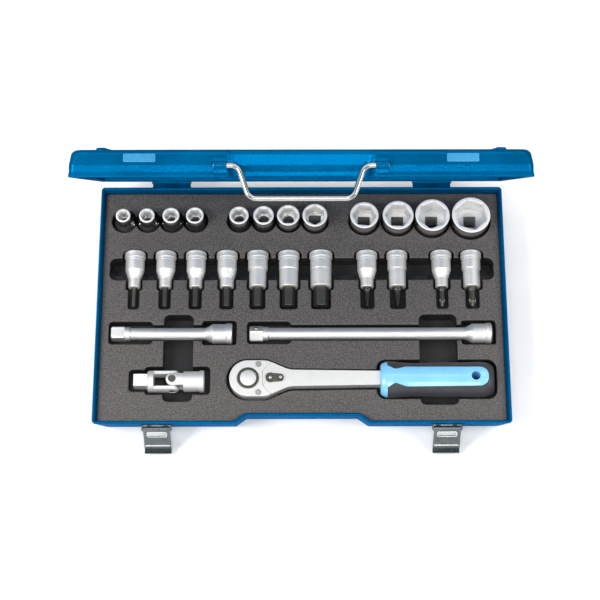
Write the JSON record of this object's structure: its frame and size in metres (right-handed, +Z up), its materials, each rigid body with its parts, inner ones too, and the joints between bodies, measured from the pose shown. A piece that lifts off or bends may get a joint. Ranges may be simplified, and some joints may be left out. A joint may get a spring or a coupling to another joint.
{
  "type": "socket wrench set in case",
  "caption": "Half-inch-drive socket wrench set: sockets, bit sockets, extension bars, universal joint and reversible ratchet in a hinged steel case with a moulded insert.",
  "frame": {"origin": "centre of the case's underside", "axes": "+X along the case, +Y from the latches to the hinges, +Z up out of the open base"},
  "size_m": [0.425, 0.3068, 0.2963],
  "materials": {
    "blue_paint": "blue powder coat, semi-gloss",
    "zinc_plate": "zinc-plated spring steel",
    "bright_wire": "bright nickel-plated wire",
    "moulded_insert": "grained dark grey moulded plastic",
    "chrome": "polished chrome plate",
    "satin_chrome": "satin chrome plate",
    "dark_steel": "phosphated tool steel",
    "light_blue_grip": "light blue hard plastic",
    "dark_grip": "dark grey soft overmould"
  },
  "bodies": {
    "case": {"case_base": "blue_paint", "tool_insert": "moulded_insert", "hinge_base_leaves": "blue_paint", "hinge_pins": "zinc_plate", "latch_plates": "zinc_plate"},
    "lid": {"case_lid": "blue_paint", "hinge_lid_leaves": "blue_paint", "handle_brackets": "blue_paint"},
    "carrying_handle": {"carrying_handle": "bright_wire"},
    "latch_lever_left": {"latch_lever_left": "zinc_plate"},
    "latch_lever_right": {"latch_lever_right": "zinc_plate"},
    "socket_10mm": {"socket_10mm": "chrome"},
    "socket_11mm": {"socket_11mm": "chrome"},
    "socket_12mm": {"socket_12mm": "chrome"},
    "socket_13mm": {"socket_13mm": "chrome"},
    "socket_14mm": {"socket_14mm": "chrome"},
    "socket_15mm": {"socket_15mm": "chrome"},
    "socket_17mm": {"socket_17mm": "chrome"},
    "socket_19mm": {"socket_19mm": "chrome"},
    "socket_22mm": {"socket_22mm": "chrome"},
    "socket_24mm": {"socket_24mm": "chrome"},
    "socket_27mm": {"socket_27mm": "chrome"},
    "socket_30mm": {"socket_30mm": "chrome"},
    "bit_socket_hex_5": {"bit_holder_hex_5": "satin_chrome", "bit_hex_5": "dark_steel"},
    "bit_socket_hex_6": {"bit_holder_hex_6": "satin_chrome", "bit_hex_6": "dark_steel"},
    "bit_socket_hex_7": {"bit_holder_hex_7": "satin_chrome", "bit_hex_7": "dark_steel"},
    "bit_socket_hex_8": {"bit_holder_hex_8": "satin_chrome", "bit_hex_8": "dark_steel"},
    "bit_socket_hex_10": {"bit_holder_hex_10": "satin_chrome", "bit_hex_10": "dark_steel"},
    "bit_socket_hex_12": {"bit_holder_hex_12": "satin_chrome", "bit_hex_12": "dark_steel"},
    "bit_socket_hex_14": {"bit_holder_hex_14": "satin_chrome", "bit_hex_14": "dark_steel"},
    "bit_socket_slot_8": {"bit_holder_slot_8": "satin_chrome", "bit_slot_8": "dark_steel"},
    "bit_socket_slot_10": {"bit_holder_slot_10": "satin_chrome", "bit_slot_10": "dark_steel"},
    "bit_socket_cross_2": {"bit_holder_cross_2": "satin_chrome", "bit_cross_2": "dark_steel"},
    "bit_socket_cross_3": {"bit_holder_cross_3": "satin_chrome", "bit_cross_3": "dark_steel"},
    "extension_bar_short": {"extension_bar_short": "satin_chrome"},
    "extension_bar_long": {"extension_bar_long": "satin_chrome"},
    "uj_socket_fork": {"uj_socket_fork": "satin_chrome"},
    "uj_cross": {"uj_cross": "dark_steel"},
    "uj_drive_fork": {"uj_drive_fork": "satin_chrome"},
    "ratchet": {"ratchet_handle": "satin_chrome", "ratchet_cover": "satin_chrome", "cover_screws": "dark_steel", "grip_core": "light_blue_grip", "grip_shell": "dark_grip"},
    "ratchet_drive": {"ratchet_drive": "dark_steel"},
    "release_button": {"release_button": "chrome"},
    "reversing_lever": {"reversing_lever": "dark_steel"}
  },
  "joints": [
    {"name": "lid_hinge", "type": "hinge", "parent": "case", "child": "lid", "pos_m": [0, 0.1367, 0.042], "axis": [-1, 0, 0], "range_deg": [-66, 100]},
    {"name": "handle_hinge", "type": "hinge", "parent": "lid", "child": "carrying_handle", "pos_m": [0, 0.03692, 0.29267], "axis": [-1, 0, 0], "range_deg": [0, 100]},
    {"name": "latch_left", "type": "hinge", "parent": "case", "child": "latch_lever_left", "pos_m": [-0.147, -0.1336, 0.0335], "axis": [1, 0, 0], "range_deg": [-154, 14]},
    {"name": "latch_right", "type": "hinge", "parent": "case", "child": "latch_lever_right", "pos_m": [0.147, -0.1336, 0.0335], "axis": [1, 0, 0], "range_deg": [-154, 14]},
    {"name": "lift_socket_10mm", "type": "slide", "parent": "case", "child": "socket_10mm", "axis": [0, 0, 1], "range_m": [0, 0.06]},
    {"name": "lift_socket_11mm", "type": "slide", "parent": "case", "child": "socket_11mm", "axis": [0, 0, 1], "range_m": [0, 0.06]},
    {"name": "lift_socket_12mm", "type": "slide", "parent": "case", "child": "socket_12mm", "axis": [0, 0, 1], "range_m": [0, 0.06]},
    {"name": "lift_socket_13mm", "type": "slide", "parent": "case", "child": "socket_13mm", "axis": [0, 0, 1], "range_m": [0, 0.06]},
    {"name": "lift_socket_14mm", "type": "slide", "parent": "case", "child": "socket_14mm", "axis": [0, 0, 1], "range_m": [0, 0.06]},
    {"name": "lift_socket_15mm", "type": "slide", "parent": "case", "child": "socket_15mm", "axis": [0, 0, 1], "range_m": [0, 0.06]},
    {"name": "lift_socket_17mm", "type": "slide", "parent": "case", "child": "socket_17mm", "axis": [0, 0, 1], "range_m": [0, 0.06]},
    {"name": "lift_socket_19mm", "type": "slide", "parent": "case", "child": "socket_19mm", "axis": [0, 0, 1], "range_m": [0, 0.06]},
    {"name": "lift_socket_22mm", "type": "slide", "parent": "case", "child": "socket_22mm", "axis": [0, 0, 1], "range_m": [0, 0.06]},
    {"name": "lift_socket_24mm", "type": "slide", "parent": "case", "child": "socket_24mm", "axis": [0, 0, 1], "range_m": [0, 0.06]},
    {"name": "lift_socket_27mm", "type": "slide", "parent": "case", "child": "socket_27mm", "axis": [0, 0, 1], "range_m": [0, 0.06]},
    {"name": "lift_socket_30mm", "type": "slide", "parent": "case", "child": "socket_30mm", "axis": [0, 0, 1], "range_m": [0, 0.06]},
    {"name": "lift_bit_socket_hex_5", "type": "slide", "parent": "case", "child": "bit_socket_hex_5", "axis": [0, 0, 1], "range_m": [0, 0.045]},
    {"name": "lift_bit_socket_hex_6", "type": "slide", "parent": "case", "child": "bit_socket_hex_6", "axis": [0, 0, 1], "range_m": [0, 0.045]},
    {"name": "lift_bit_socket_hex_7", "type": "slide", "parent": "case", "child": "bit_socket_hex_7", "axis": [0, 0, 1], "range_m": [0, 0.045]},
    {"name": "lift_bit_socket_hex_8", "type": "slide", "parent": "case", "child": "bit_socket_hex_8", "axis": [0, 0, 1], "range_m": [0, 0.045]},
    {"name": "lift_bit_socket_hex_10", "type": "slide", "parent": "case", "child": "bit_socket_hex_10", "axis": [0, 0, 1], "range_m": [0, 0.045]},
    {"name": "lift_bit_socket_hex_12", "type": "slide", "parent": "case", "child": "bit_socket_hex_12", "axis": [0, 0, 1], "range_m": [0, 0.045]},
    {"name": "lift_bit_socket_hex_14", "type": "slide", "parent": "case", "child": "bit_socket_hex_14", "axis": [0, 0, 1], "range_m": [0, 0.045]},
    {"name": "lift_bit_socket_slot_8", "type": "slide", "parent": "case", "child": "bit_socket_slot_8", "axis": [0, 0, 1], "range_m": [0, 0.045]},
    {"name": "lift_bit_socket_slot_10", "type": "slide", "parent": "case", "child": "bit_socket_slot_10", "axis": [0, 0, 1], "range_m": [0, 0.045]},
    {"name": "lift_bit_socket_cross_2", "type": "slide", "parent": "case", "child": "bit_socket_cross_2", "axis": [0, 0, 1], "range_m": [0, 0.045]},
    {"name": "lift_bit_socket_cross_3", "type": "slide", "parent": "case", "child": "bit_socket_cross_3", "axis": [0, 0, 1], "range_m": [0, 0.045]},
    {"name": "lift_extension_bar_short", "type": "slide", "parent": "case", "child": "extension_bar_short", "axis": [0, 0, 1], "range_m": [0, 0.045]},
    {"name": "lift_extension_bar_long", "type": "slide", "parent": "case", "child": "extension_bar_long", "axis": [0, 0, 1], "range_m": [0, 0.045]},
    {"name": "lift_universal_joint", "type": "slide", "parent": "case", "child": "uj_socket_fork", "axis": [0, 0, 1], "range_m": [0, 0.045]},
    {"name": "uj_side_bend", "type": "hinge", "parent": "uj_socket_fork", "child": "uj_cross", "pos_m": [-0.1325, -0.0825, 0.03], "axis": [0, 0, 1], "range_deg": [-2, 2]},
    {"name": "uj_up_bend", "type": "hinge", "parent": "uj_cross", "child": "uj_drive_fork", "pos_m": [-0.1325, -0.0825, 0.03], "axis": [0, 1, 0], "range_deg": [0, 40]},
    {"name": "lift_ratchet", "type": "slide", "parent": "case", "child": "ratchet", "axis": [0, 0, 1], "range_m": [0, 0.06]},
    {"name": "drive_spin", "type": "hinge", "parent": "ratchet", "child": "ratchet_drive", "pos_m": [-0.055, -0.0815, 0.03], "axis": [0, 0, 1], "continuous": true},
    {"name": "release_press", "type": "slide", "parent": "ratchet_drive", "child": "release_button", "axis": [0, 0, -1], "range_m": [0, 0.0012], "stiffness_N_per_m": 900},
    {"name": "reversing_flip", "type": "hinge", "parent": "ratchet", "child": "reversing_lever", "pos_m": [-0.0322, -0.0815, 0.039], "axis": [0, 0, 1], "range_deg": [-18, 18]}
  ]
}
